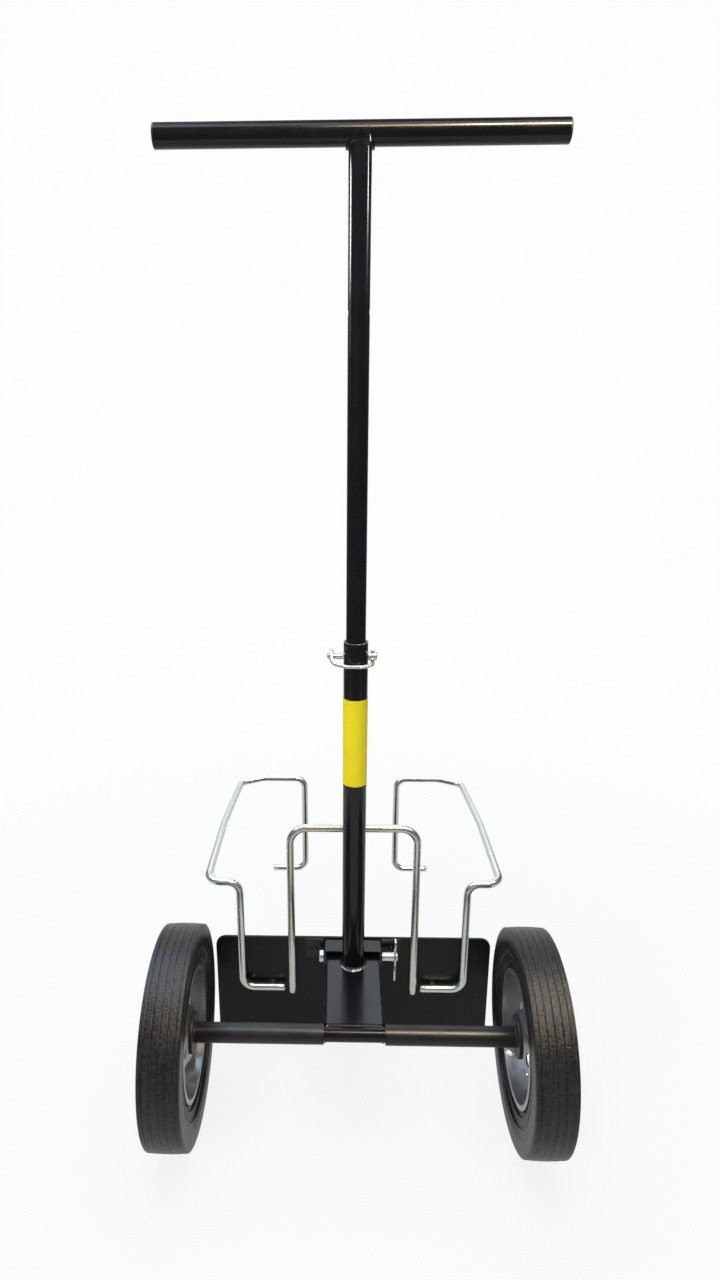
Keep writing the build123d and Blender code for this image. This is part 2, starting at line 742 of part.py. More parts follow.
arm_bends = (
    wire_bend,
    wire_bend,
    arm_hip_bend,
    arm_bow_bend,
    arm_corner_bend,
    arm_kink_bend,
    wire_bend,
    wire_bend,
)
for side, out in sides:
    with BuildPart() as side_arm:
        with BuildLine() as route:
            FilletPolyline(
                (out * arm_foot_inner, wire_y, arm_foot_height),
                (out * arm_leg, wire_y, arm_foot_height),
                (out * arm_leg, wire_y, arm_bar_height),
                (out * arm_bar_rear, wire_y, arm_bar_height),
                (out * arm_bar_bow, panel_y + arm_bow_reach, arm_bar_height),
                (out * arm_bar_front, front_bar_y - arm_corner_setback, arm_bar_height),
                (out * arm_kink, front_bar_y, arm_bar_height),
                (out * arm_drop, front_bar_y, arm_bar_height),
                (out * arm_drop, front_bar_y, arm_toe_height),
                (out * arm_toe, front_bar_y, arm_toe_height),
                radius=arm_bends,
            )
        with BuildSketch(Plane(origin=route.line @ 0, z_dir=route.line % 0)):
            Circle(wire_radius)
        sweep()
        chamfer(side_arm.faces().filter_by(GeomType.PLANE).edges(), wire_end_chamfer)
    keep(side_arm, "side_arm_" + side)

# Studs welded to the backs of the wires, through the panel, with a flange nut each
with BuildPart() as wire_studs:
    with BuildSketch(upright(panel_y)):
        with Locations(*stud_places):
            Circle(stud_shoulder / 2)
    extrude(amount=wire_standoff + wire_radius)
    with BuildSketch(upright(panel_y)):
        with Locations(*stud_places):
            Circle(stud_diameter / 2)
    extrude(amount=-(plate_wall + nut_flange_height + nut_height + stud_proud))
    with BuildSketch(level(0, wire_y, 0)):
        for side, out in sides:
            with Locations((out * rest_width / 2, 0), (out * arm_leg, 0)):
                Circle(wire_radius)
    extrude(amount=panel_height, mode=Mode.SUBTRACT)
    for side, out in sides:
        with BuildSketch(across(out * foot_stud, wire_y, arm_foot_height)):
            Circle(wire_radius)
        extrude(amount=wire_diameter, both=True, mode=Mode.SUBTRACT)
keep(wire_studs, "wire_studs")

with BuildPart() as wire_nuts:
    with BuildSketch(upright(panel_y + plate_wall)):
        with Locations(*stud_places):
            Circle(nut_flange_diameter / 2)
    extrude(amount=-nut_flange_height)
    with BuildSketch(upright(panel_y + plate_wall + nut_flange_height)):
        with Locations(*stud_places):
            RegularPolygon(nut_flats / 2, 6, major_radius=False)
    extrude(amount=-nut_height)
    with BuildSketch(upright(panel_y + plate_wall)):
        with Locations(*stud_places):
            Circle(stud_diameter / 2)
    extrude(amount=-(nut_flange_height + nut_height), mode=Mode.SUBTRACT)
keep(wire_nuts, "wire_nuts")
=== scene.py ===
import bpy
import bmesh
import json
import math
import random
from mathutils import Matrix, Vector, noise


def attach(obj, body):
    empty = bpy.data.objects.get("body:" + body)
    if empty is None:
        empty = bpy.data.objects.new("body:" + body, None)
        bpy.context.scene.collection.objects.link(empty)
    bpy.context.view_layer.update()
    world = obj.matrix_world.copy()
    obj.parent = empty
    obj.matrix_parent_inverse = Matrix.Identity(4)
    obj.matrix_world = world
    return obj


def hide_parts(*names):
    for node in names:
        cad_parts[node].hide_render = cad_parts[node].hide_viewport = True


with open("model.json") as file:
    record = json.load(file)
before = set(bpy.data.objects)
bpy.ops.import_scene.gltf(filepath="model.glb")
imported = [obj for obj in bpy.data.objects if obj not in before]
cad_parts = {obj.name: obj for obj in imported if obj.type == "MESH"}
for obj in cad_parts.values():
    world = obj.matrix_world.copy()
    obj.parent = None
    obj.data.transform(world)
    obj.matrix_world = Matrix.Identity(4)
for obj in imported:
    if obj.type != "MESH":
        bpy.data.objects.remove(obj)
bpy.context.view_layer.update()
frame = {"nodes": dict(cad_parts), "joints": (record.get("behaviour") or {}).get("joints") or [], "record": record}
nodes = frame["nodes"]
scene = bpy.context.scene
print("frame loaded:", len(nodes), "pieces")

# The cart's pieces are drawn square to the mast, in millimetres: x from its middle, y forward from the axle and
# z up from the floor. Like the solids, they then lean back about the axle.
stance = {"lean": 3.0, "axle": Vector(frame["joints"][0]["pos_m"])}
leanTurn = Matrix.Rotation(math.radians(stance["lean"]), 4, "X")


def leaned(x, y, z):
    pivot = Vector((0.0, stance["axle"].y, stance["axle"].z))
    return pivot + leanTurn @ Vector((x / 1000, y / 1000, z / 1000 - pivot.z))


# shader helpers

def addNode(tree, kind, values=None, **settings):
    node = tree.nodes.new(kind)
    for key, value in settings.items():
        setattr(node, key, value)
    for key, value in (values or {}).items():
        node.inputs[key].default_value = value
    return node


def join(tree, source, output, target, slot):
    tree.links.new(source.outputs[output], target.inputs[slot])


def rgb(colour):
    return (*colour, 1.0)


def startFinish(name, colour, metallic, specular):
    finish = bpy.data.materials.new(name)
    finish.use_nodes = True
    tree = finish.node_tree
    shader = tree.nodes["Principled BSDF"]
    shader.inputs["Base Color"].default_value = rgb(colour)
    shader.inputs["Metallic"].default_value = metallic
    shader.inputs["Specular IOR Level"].default_value = specular
    return finish, tree, shader


def placeOf(tree, stretch=(1.0, 1.0, 1.0)):
    where = addNode(tree, "ShaderNodeTexCoord")
    mapping = addNode(tree, "ShaderNodeMapping", {"Scale": stretch})
    join(tree, where, "Object", mapping, "Vector")
    return mapping


def grain(tree, place, scale, detail, rough=0.55, twist=0.0):
    values = {"Scale": scale, "Detail": detail, "Roughness": rough, "Distortion": twist}
    speckle = addNode(tree, "ShaderNodeTexNoise", values)
    join(tree, place, "Vector", speckle, "Vector")
    return speckle


def ramp(tree, source, output, start, end, low=0.0, high=1.0):
    values = {"From Min": start, "From Max": end, "To Min": low, "To Max": high}
    ranged = addNode(tree, "ShaderNodeMapRange", values)
    join(tree, source, output, ranged, "Value")
    return ranged


def blendColours(tree, fac, facOut, first, second):
    mix = addNode(tree, "ShaderNodeMix", data_type="RGBA")
    mix.inputs[6].default_value = rgb(first)
    mix.inputs[7].default_value = rgb(second)
    tree.links.new(fac.outputs[facOut], mix.inputs[0])
    return mix


def relief(tree, shader, source, strength, depth, under=None):
    bump = addNode(tree, "ShaderNodeBump", {"Strength": strength, "Distance": depth})
    join(tree, source, "Fac", bump, "Height")
    if under is not None:
        join(tree, under, "Normal", bump, "Normal")
    join(tree, bump, "Normal", shader, "Normal")
    return bump


def seenRays(tree):  # 1 on what is seen, mirrored or seen through, 0 on what only lights
    path = addNode(tree, "ShaderNodeLightPath")
    seen = addNode(tree, "ShaderNodeMath", operation="MAXIMUM")
    join(tree, path, "Is Camera Ray", seen, 0)
    join(tree, path, "Is Glossy Ray", seen, 1)
    through = addNode(tree, "ShaderNodeMath", operation="MAXIMUM")
    join(tree, seen, "Value", through, 0)
    join(tree, path, "Is Transmission Ray", through, 1)
    return path, through


def showMix(tree, share, first, second, end):
    mixed = addNode(tree, "ShaderNodeMixShader")
    join(tree, share, "Value", mixed, 0)
    join(tree, first, 0, mixed, 1)
    join(tree, second, 0, mixed, 2)
    join(tree, mixed, "Shader", tree.nodes[end], "Surface")


# finishes: a clouded colour, an uneven gloss and a fine relief. Each grain gives scale, detail, roughness and twist.

glossRange = (0.3, 0.7)  # the part of a grain's values that the gloss is spread over
blackCoatLook = {"colour": (0.0070, 0.0068, 0.0082), "shade": (0.0115, 0.0110, 0.0112), "metal": 0.0,
                 "specular": 0.28, "cloud": (9.0, 4.0), "cloudRange": (0.42, 0.78), "smear": (38.0, 2.0, 0.6),
                 "rough": (0.15, 0.22), "pits": (520.0, 2.0, 0.5), "relief": (0.010, 0.00006)}
panelCoatLook = dict(blackCoatLook, colour=(0.0068, 0.0067, 0.0067), rough=(0.20, 0.32), specular=0.18)
weldCoatLook = dict(blackCoatLook, rough=(0.24, 0.32), specular=0.9)
# the mast's coat carries a pale ring at its open end (lip): a painted highlight
mastCoatLook = dict(blackCoatLook, lip=(0.17, 0.17, 0.18), lipTop=633.0, lipBand=(0.7, 0.3))
satinCoatLook = dict(blackCoatLook, colour=(0.0110, 0.0103, 0.0100), shade=(0.018, 0.0165, 0.0155),
                     rough=(0.29, 0.38), specular=0.34)
zincLook = {"colour": (0.58, 0.615, 0.59), "shade": (0.60, 0.58, 0.475), "metal": 0.95, "specular": 0.5,
            "cloud": (14.0, 3.0, 0.5, 0.6), "cloudRange": (0.36, 0.66), "smear": (70.0, 6.0, 0.65),
            "rough": (0.20, 0.29), "pits": (900.0, 2.0), "relief": (0.02, 0.00004)}
# painted light: the side arms' zinc is paler and bluer than the other wires, standing in for their bright bluish
# reflections
paleLitArmLook = dict(zincLook, colour=(0.60, 0.66, 0.645), shade=(0.62, 0.635, 0.59))
pinLook = dict(zincLook, shade=(0.70, 0.69, 0.65), rough=(0.20, 0.30), metal=0.85)
# the rims' silver is set dark grey; part of that darkness is painted shade for the wheels' shaded insides and the floor
# mirrored beneath them
shadedSilverLook = {"colour": (0.31, 0.313, 0.315), "shade": (0.225, 0.22, 0.21), "metal": 0.85, "specular": 0.5,
              "cloud": (22.0, 5.0, 0.6), "cloudRange": (0.4, 0.75), "smear": (1400.0, 2.0), "rough": (0.24, 0.36),
              "pits": (1400.0, 2.0), "relief": (0.08, 0.00004)}
plasticLook = {"colour": (0.009, 0.009, 0.0095), "shade": (0.019, 0.019, 0.0195), "metal": 0.0, "specular": 0.4,
               "cloud": (30.0, 4.0), "cloudRange": (0.45, 0.8), "smear": (700.0, 2.0), "rough": (0.40, 0.56),
               "pits": (700.0, 2.0), "relief": (0.15, 0.00008)}
nylonLook = dict(plasticLook, colour=(0.022, 0.022, 0.022), shade=(0.036, 0.035, 0.034), rough=(0.40, 0.55))
labelLook = {"colour": (0.97, 0.80, 0.010), "shade": (0.92, 0.73, 0.010), "metal": 0.0, "specular": 0.2,
             "cloud": (26.0, 4.0, 0.55, 0.3), "cloudRange": (0.4, 0.75), "smear": (160.0, 3.0), "rough": (0.30, 0.42),
             "pits": (160.0, 3.0), "relief": (0.10, 0.0001)}


def paintLipHighlight(tree, shader, place, tint, look):  # painted highlight: a pale grey ring on the coat at the tube's open end, standing in for the rim's highlight
    up = leanTurn @ Vector((0.0, 0.0, 1.0))
    height = addNode(tree, "ShaderNodeVectorMath", {1: up}, operation="DOT_PRODUCT")
    join(tree, place, "Vector", height, 0)
    low, high = (leaned(0.0, 0.0, look["lipTop"] - band).dot(up) for band in look["lipBand"])
    edge = ramp(tree, height, "Value", low, high)
    paintedHighlight = blendColours(tree, edge, "Result", look["colour"], look["lip"])
    tree.links.new(tint.outputs[2], paintedHighlight.inputs[6])
    tree.links.new(paintedHighlight.outputs[2], shader.inputs["Base Color"])


def makeFinish(name, look):
    finish, tree, shader = startFinish(name, look["colour"], look["metal"], look["specular"])
    place = placeOf(tree)
    cloud = grain(tree, place, *look["cloud"])
    tone = ramp(tree, cloud, "Fac", *look["cloudRange"])
    tint = blendColours(tree, tone, "Result", look["colour"], look["shade"])
    tree.links.new(tint.outputs[2], shader.inputs["Base Color"])
    # painted highlight: pale ring on the mast's open end
    if "lip" in look:
        paintLipHighlight(tree, shader, place, tint, look)
    smear = grain(tree, place, *look["smear"])
    gloss = ramp(tree, smear, "Fac", *glossRange, *look["rough"])
    join(tree, gloss, "Result", shader, "Roughness")
    pits = grain(tree, place, *look["pits"])
    relief(tree, shader, pits, *look["relief"])
    return finish


rubberLook = {"deep": (0.0040, 0.0040, 0.0042), "dusty": (0.027, 0.0245, 0.0230), "wall": (0.0080, 0.0077, 0.0074),
              "cloud": (13.0, 6.0, 0.62, 0.4), "grit": (380.0, 4.0, 0.7), "stretch": (0.6, 1.0, 1.0), "gritShare": 2.0,
              "streakShare": 0.42, "dustRange": (1.42, 2.05), "rough": (0.24, 0.42), "specular": 0.29,
              "wallSpecular": 0.10, "lumps": (0.2, 0.0006), "bite": 0.45, "biteDepth": 0.0022}


def makeRubber(name, look):
    finish, tree, shader = startFinish(name, look["deep"], 0.0, look["specular"])
    cloud = grain(tree, placeOf(tree), *look["cloud"])
    grit = grain(tree, placeOf(tree, look["stretch"]), *look["grit"])
    streak = addNode(tree, "ShaderNodeAttribute", attribute_name="streak")
    tread = addNode(tree, "ShaderNodeAttribute", attribute_name="tread")
    worn = addNode(tree, "ShaderNodeMath", {1: look["gritShare"]}, operation="MULTIPLY_ADD")
    join(tree, grit, "Fac", worn, 0)
    join(tree, cloud, "Fac", worn, 2)
    lined = addNode(tree, "ShaderNodeMath", {1: look["streakShare"]}, operation="MULTIPLY_ADD")
    join(tree, streak, "Fac", lined, 0)
    join(tree, worn, "Value", lined, 2)
    dust = ramp(tree, lined, "Value", *look["dustRange"])
    tint = blendColours(tree, dust, "Result", look["deep"], look["dusty"])
    whole = blendColours(tree, tread, "Fac", look["wall"], look["dusty"])  # plain sidewall, gritty tread
    tree.links.new(tint.outputs[2], whole.inputs[7])
    tree.links.new(whole.outputs[2], shader.inputs["Base Color"])
    gloss = ramp(tree, grit, "Fac", *glossRange, *look["rough"])
    join(tree, gloss, "Result", shader, "Roughness")
    shine = ramp(tree, tread, "Fac", 0.0, 1.0, look["wallSpecular"], look["specular"])
    join(tree, shine, "Result", shader, "Specular IOR Level")
    lumps = relief(tree, shader, cloud, *look["lumps"])
    bite = addNode(tree, "ShaderNodeMath", {1: look["bite"]}, operation="MULTIPLY")
    join(tree, tread, "Fac", bite, 0)
    rough = relief(tree, shader, grit, look["bite"], look["biteDepth"], lumps)
    join(tree, bite, "Value", rough, "Strength")
    return finish


finishes = {
    "black_powder_coat": makeFinish("blackCoat", blackCoatLook),
    "satin_black": makeFinish("satinCoat", satinCoatLook),
    "plug_black": makeFinish("plugPlastic", plasticLook),
    "label_yellow": makeFinish("labelVinyl", labelLook),
    "bright_zinc": makeFinish("wireZinc", zincLook),
    "pin_zinc": makeFinish("pinZinc", pinLook),
    "tyre_rubber": makeRubber("tyreRubber", rubberLook),
    "rim_silver": makeFinish("rimSilver", shadedSilverLook),
    "hub_black": makeFinish("hubPlastic", plasticLook),
    "bush_nylon": makeFinish("bushNylon", nylonLook),
}
ownCoats = {
    "toe_plate": makeFinish("panelCoat", panelCoatLook),
    "mast_tube": makeFinish("mastCoat", mastCoatLook),
}
slotOf = {}
for row in frame["record"]["subparts"]:
    slotOf[row["node"]] = row["material_slot"]
    mesh = nodes[row["node"]].data
    mesh.materials.clear()
    mesh.materials.append(ownCoats.get(row["node"], finishes[row["material_slot"]]))
print("finishes:", len(finishes) + len(ownCoats))


# mesh helpers

def addPiece(name, shape, node, body, marks=None, finish=None):
    mesh = bpy.data.meshes.new(name)
    shape.normal_update()
    shape.to_mesh(mesh)
    shape.free()
    mesh.shade_smooth()
    for mark, values in (marks or {}).items():
        mesh.attributes.new(mark, "FLOAT", "POINT").data.foreach_set("value", values)
    mesh.materials.append(finish or finishes[slotOf[node]])
    piece = bpy.data.objects.new(name, mesh)
    scene.collection.objects.link(piece)
    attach(piece, body)
    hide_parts(node)
    return piece


def skin(shape, rings, closed=False):
    pairs = list(zip(rings, rings[1:])) + ([(rings[-1], rings[0])] if closed else [])
    for a, b in pairs:
        for i in range(len(a)):
            j = (i + 1) % len(a)
            shape.faces.new((a[i], a[j], b[j], b[i]))


# bent wires: straight runs and round bends, as a bending machine leaves them

def bendRoute(corners, bends, stepAngle, runStep):
    route = [corners[0]]

    def runTo(end):
        start = route[-1]
        count = max(1, round((end - start).length / runStep))
        for i in range(1, count + 1):
            route.append(start.lerp(end, i / count))

    for before, corner, after, bend in zip(corners, corners[1:], corners[2:], bends):
        into = (corner - before).normalized()
        away = (after - corner).normalized()
        turn = into.angle(away)
        axis = into.cross(away).normalized()
        reach = bend * math.tan(turn / 2)
        runTo(corner - into * reach)
        centre = route[-1] + axis.cross(into) * bend
        arm = route[-1] - centre
        count = max(2, math.ceil(math.degrees(turn) / stepAngle))
        for i in range(1, count + 1):
            route.append(centre + Matrix.Rotation(turn * i / count, 3, axis) @ arm)
    runTo(corners[-1])
    return route


def makeWire(name, node, body, look, corners, bends, finish=None):
    places = [leaned(*c) for c in corners]
    route = bendRoute(places, [b / 1000 for b in bends], look["stepAngle"], look["runStep"])
    radius = look["diameter"] / 2000
    shape = bmesh.new()
    rings = []
    across = None
    chamfer = look["chamfer"] / 1000
    ahead = (route[1] - route[0]).normalized()
    behind = (route[-1] - route[-2]).normalized()
    stations = [(route[0], radius - chamfer), (route[0] + ahead * chamfer, radius)]
    stations += [(p, radius) for p in route[1:-1]]
    stations += [(route[-1] - behind * chamfer, radius), (route[-1], radius - chamfer)]
    for i, (point, size) in enumerate(stations):
        nearer = stations[max(i - 1, 0)][0]
        further = stations[min(i + 1, len(stations) - 1)][0]
        along = (further - nearer).normalized()
        if across is None:
            across = along.orthogonal().normalized()
        across = (across - along * across.dot(along)).normalized()
        up = along.cross(across)
        ring = []
        for k in range(look["sides"]):
            a = 2 * math.pi * k / look["sides"]
            out = across * math.cos(a) + up * math.sin(a)
            wave = noise.noise(point * look["waveScale"] + out * look["waveTurn"]) * look["wave"] / 1000
            ring.append(shape.verts.new(point + out * (size - look["wave"] / 1000 + wave)))
        rings.append(ring)
    skin(shape, rings)
    shape.faces.new(list(reversed(rings[0])))
    shape.faces.new(rings[-1])
    piece = addPiece(name, shape, node, body, finish=finish)
    for face in piece.data.polygons:
        face.use_smooth = len(face.vertices) == 4
    print(name, "rings:", len(rings))


wireLook = {"diameter": 11.0, "sides": 32, "stepAngle": 5.0, "runStep": 0.012, "chamfer": 1.2, "wave": 0.03,
            "waveScale": 60.0, "waveTurn": 0.3}
wireY = 158.5
rest = {"half": 91.0, "foot": 65.0, "top": 345.5, "bend": 25.0}
makeWire("restWire", "back_rest_wire", "toe", wireLook, [
    (-rest["half"], wireY, rest["foot"]), (-rest["half"], wireY, rest["top"]),
    (rest["half"], wireY, rest["top"]), (rest["half"], wireY, rest["foot"])], [rest["bend"]] * 2)

arm = {"footInner": 102.0, "leg": 166.0, "foot": 73.5, "bar": 256.0, "rear": 213.5, "bow": 211.5, "bowY": 331.0,
       "front": 200.5, "frontY": 490.0, "setback": 19.0, "kink": 161.0, "drop": 85.0, "toeHeight": 67.0, "toe": 146.0,
       "bends": [17.5, 17.5, 22.0, 120.0, 20.0, 30.0, 17.5, 17.5]}
# the side arms take the paler, bluer zinc: painted light and reflection
litArmZinc = makeFinish("litArmZinc", paleLitArmLook)
for side, out in (("left", -1), ("right", 1)):
    makeWire(side + "ArmWire", "side_arm_" + side, "toe", wireLook, [
        (out * arm["footInner"], wireY, arm["foot"]), (out * arm["leg"], wireY, arm["foot"]),
        (out * arm["leg"], wireY, arm["bar"]), (out * arm["rear"], wireY, arm["bar"]),
        (out * arm["bow"], arm["bowY"], arm["bar"]), (out * arm["front"], arm["frontY"] - arm["setback"], arm["bar"]),
        (out * arm["kink"], arm["frontY"], arm["bar"]), (out * arm["drop"], arm["frontY"], arm["bar"]),
        (out * arm["drop"], arm["frontY"], arm["toeHeight"]), (out * arm["toe"], arm["frontY"], arm["toeHeight"])],
        arm["bends"], litArmZinc)

# spring wire that turns in the lock pin's head, goes round the mast and clips on the pin's tip
keeperLook = dict(wireLook, diameter=4.9, sides=24, stepAngle=6.0, runStep=0.004, chamfer=0.6, wave=0.0)
keeper = {"hinge": 21.65, "mastY": 126.0, "top": 621.0, "low": 604.5, "lead": 117.0, "front": 106.45,
          "frontHalf": 10.0, "tip": 30.85, "tipY": 109.9, "tipZ": 608.0, "clipY": 118.9, "clipTop": 620.1,
          "clipEnd": 128.5, "bends": [2.9, 13.0, 18.0, 30.0, 8.0, 6.0]}
makeWire("keeperWire", "lock_pin_keeper", "keeper", keeperLook, [
    (keeper["hinge"], keeper["mastY"], keeper["top"]), (keeper["hinge"], keeper["mastY"], keeper["low"]),
    (keeper["hinge"], keeper["lead"], keeper["low"]), (keeper["frontHalf"], keeper["front"], keeper["low"]),
    (-keeper["frontHalf"], keeper["front"], keeper["low"]), (-keeper["tip"], keeper["tipY"], keeper["tipZ"]),
    (-keeper["tip"], keeper["clipY"], keeper["clipTop"]), (-keeper["tip"], keeper["clipEnd"], keeper["clipTop"])],
    keeper["bends"])


# tyres: moulded rubber with fine ribs of uneven width, a plain sidewall and a stepped bead

tyreLook = {"radius": 135.0, "half": 25.5, "treadHalf": 24.0, "crown": 1.0, "shoulderDrop": 3.0, "lean": 1.0,
            "seat": 80.0, "bead": 22.0, "stepHeight": 12.0, "step": 3.0, "stepRound": 0.6, "beadRound": 0.8,
            "grooves": 5, "pitch": 9.2, "wander": 0.5, "grooveDepth": (0.7, 1.0), "grooveWidth": (0.8, 1.0),
            "scores": 12, "scoreDepth": (0.12, 0.32), "scoreWidth": (0.35, 0.6), "cutSharp": 2.2, "around": 220,
            "treadStep": 0.4, "lump": 0.22, "lumpFrom": 6.0, "lumpScale": (95.0, 260.0), "lumpFine": 0.6,
            "lumpRest": 0.6, "lanes": 0.55, "laneRun": 2.4, "laneFine": 2.7, "streak": (0.5, 0.8, 0.4),
            "wrap": (116.0, 121.0), "seed": 11, "wallSteps": (0.35, 0.6, 0.8),
            # moulded ring line, out from the sidewall's face and up from the bead
            "ringLine": ((-0.7, 0.0), (0.0, 0.7), (0.0, 2.2), (-0.5, 2.9), (-0.5, 4.1), (0.06, 4.8)),
            # shoulder's round: two points in from the side and up from its foot, then two measured down from the tread
            "shoulder": ((0.05, -0.5), (0.35, 0.6)), "shoulderTop": (0.75, 1.2), "treadEdge": (0.15, 0.35)}


def tyreWall(look):
    edge = look["radius"] - look["crown"]
    shoulderLow = edge - look["shoulderDrop"]
    beadTop = look["seat"] + look["bead"]
    stepLow = beadTop - look["stepHeight"]
    half, face = look["half"], look["half"] - look["lean"]
    stepHalf = face - look["step"]
    rimHalf = stepHalf - look["step"]
    turn, beadTurn = look["stepRound"], look["beadRound"]
    wall = [(rimHalf, look["seat"]), (rimHalf, stepLow - turn), (rimHalf + turn, stepLow), (stepHalf - turn, stepLow),
            (stepHalf, stepLow + turn), (stepHalf, beadTop - beadTurn), (stepHalf + beadTurn, beadTop)]
    wall += [(face + x, beadTop + r) for x, r in look["ringLine"]]
    ringTop = look["ringLine"][-1][1]
    for t in look["wallSteps"]:
        wall.append((face + look["lean"] * t, beadTop + ringTop + t * (shoulderLow - beadTop - ringTop)))
    wall += [(half - x, shoulderLow + r) for x, r in look["shoulder"]]
    topIn, topDown = look["shoulderTop"]
    edgeOut, edgeDown = look["treadEdge"]
    wall += [(half - topIn, edge - topDown), (look["treadHalf"] + edgeOut, edge - edgeDown)]
    return wall, beadTop


def makeTyre(side, out, look):
    rnd = random.Random(look["seed"] + out)
    treadHalf = look["treadHalf"]
    cuts = []
    for i in range(look["grooves"]):
        at = look["pitch"] * (i - (look["grooves"] - 1) / 2) + rnd.uniform(-look["wander"], look["wander"])
        cuts.append((at, rnd.uniform(*look["grooveDepth"]), rnd.uniform(*look["grooveWidth"])))
    for i in range(look["scores"]):
        at = rnd.uniform(-treadHalf, treadHalf)
        cuts.append((at, rnd.uniform(*look["scoreDepth"]), rnd.uniform(*look["scoreWidth"])))

    def tread(x):
        depth = sum(d * math.exp(-((x - c) / w) ** 2 * look["cutSharp"]) for c, d, w in cuts)
        return look["radius"] - look["crown"] * (x / treadHalf) ** 2 - depth

    wall, beadTop = tyreWall(look)
    count = round(2 * treadHalf / look["treadStep"])
    across = [(-treadHalf + 2 * treadHalf * i / count) for i in range(count + 1)]
    profile = [(-x, r) for x, r in wall] + [(x, tread(x)) for x in across] + [(x, r) for x, r in reversed(wall)]
    shape = bmesh.new()
    middle = stance["axle"].copy()
    middle.x = abs(middle.x) * out
    low, high = look["wrap"]
    plain, broad, fine = look["streak"]
    coarseScale, fineScale = look["lumpScale"]
    rings = []
    streaks = []
    treads = []
    for k in range(look["around"]):
        a = 2 * math.pi * k / look["around"]
        spoke = Vector((0.0, math.cos(a), math.sin(a)))
        ring = []
        for x, r in profile:
            lane = Vector((x * look["lanes"], 0, 0)) + spoke * look["laneRun"]
            streaks.append(plain + broad * noise.noise(lane) + fine * noise.noise(lane * look["laneFine"]))
            treads.append(min(1.0, max(0.0, (r - low) / (high - low))))
            place = Vector((x / 1000, 0, 0)) + spoke * r / 1000
            lump = 0.0
            if r > beadTop + look["lumpFrom"]:  # worn only inwards from the moulded size
                wear = noise.noise(place * coarseScale) + look["lumpFine"] * noise.noise(place * fineScale)
                lump = min(0.0, wear - look["lumpRest"]) * look["lump"]
            ring.append(shape.verts.new(middle + place + spoke * lump / 1000))
        rings.append(ring)
    skin(shape, rings, True)
    bmesh.ops.recalc_face_normals(shape, faces=shape.faces)
    addPiece(side + "Tyre", shape, "tyre_" + side, "wheel_" + side, {"streak": streaks, "tread": treads})
    print(side, "tyre points:", len(profile) * len(rings))


for side, out in (("left", -1), ("right", 1)):
    makeTyre(side, out, tyreLook)


# weld bead round the mast's foot, laid in overlapping drops

footWeldLook = {"mastY": 126.0, "mastRadius": 15.85, "floor": 145.0, "leg": 5.0, "bulge": 0.9, "bulgeShare": 0.7,
                "sinkMast": 0.3, "sinkFloor": 0.2, "drops": 26, "swell": (0.82, 1.0), "ripple": 0.14, "fall": 1.6,
                "around": 208, "steps": 9, "seed": 5}


def makeFootWeld(look):
    rnd = random.Random(look["seed"])
    swell = [rnd.uniform(*look["swell"]) for i in range(look["drops"])]
    inner = look["mastRadius"] - look["sinkMast"]
    bottom = look["floor"] - look["sinkFloor"]
    shape = bmesh.new()
    rings = []
    for k in range(look["around"]):
        a = 2 * math.pi * k / look["around"]
        at = k / look["around"] * look["drops"]
        i = int(at)
        part = at - i
        size = swell[i] * (1 - part) + swell[(i + 1) % look["drops"]] * part
        size *= 1 - look["ripple"] * (part ** look["fall"])
        leg = look["leg"] * size
        section = []
        for s in range(look["steps"] + 1):
            t = math.pi / 2 * s / look["steps"]
            push = look["bulge"] * math.sin(2 * t) * size * look["bulgeShare"]
            section.append((inner + (leg + look["sinkMast"]) * (1 - math.cos(t)) + push,
                            bottom + (leg + look["sinkFloor"]) * (1 - math.sin(t)) + push))
        section.append((inner, bottom))
        rings.append([shape.verts.new(leaned(r * math.cos(a), look["mastY"] + r * math.sin(a), z)) for r, z in section])
    skin(shape, rings, True)
    bmesh.ops.recalc_face_normals(shape, faces=shape.faces)
    addPiece("footWeld", shape, "mast_weld", "frame", finish=makeFinish("weldCoat", weldCoatLook))


makeFootWeld(footWeldLook)
print("welds laid")


# floor, backdrop, light

stageLook = {"half": 7.0, "back": 3.4, "turn": 1.6, "turnSteps": 16, "height": 6.0, "paper": (0.86, 0.86, 0.86),
             "rough": 0.9, "specular": 0.1, "glow": (0.84, 0.97), "reach": (0.45, 1.5), "mirrored": (0.76, 0.98)}


def makePaper(look):
    finish, tree, shader = startFinish("stagePaper", look["paper"], 0.0, look["specular"])
    shader.inputs["Roughness"].default_value = look["rough"]
    path, through = seenRays(tree)
    where = addNode(tree, "ShaderNodeNewGeometry")
    off = addNode(tree, "ShaderNodeVectorMath", operation="LENGTH")
    join(tree, where, "Position", off, "Vector")
    level = ramp(tree, off, "Value", *look["reach"], *look["glow"])  # less glow near the cart, so that its shadow shows
    share = addNode(tree, "ShaderNodeMath", operation="MULTIPLY")
    join(tree, through, "Value", share, 0)
    join(tree, level, "Result", share, 1)
    dim = ramp(tree, off, "Value", *look["reach"], *look["mirrored"])  # painted shade: the glow that the coat mirrors is dimmer near the cart, standing in for the cart's shadow on the floor
    strength = addNode(tree, "ShaderNodeMix", {2: 1.0})
    join(tree, path, "Is Glossy Ray", strength, 0)
    join(tree, dim, "Result", strength, 3)
    glow = addNode(tree, "ShaderNodeEmission", {"Color": (1.0, 1.0, 1.0, 1.0)})
    join(tree, strength, 0, glow, "Strength")
    showMix(tree, share, shader, glow, "Material Output")
    return finish


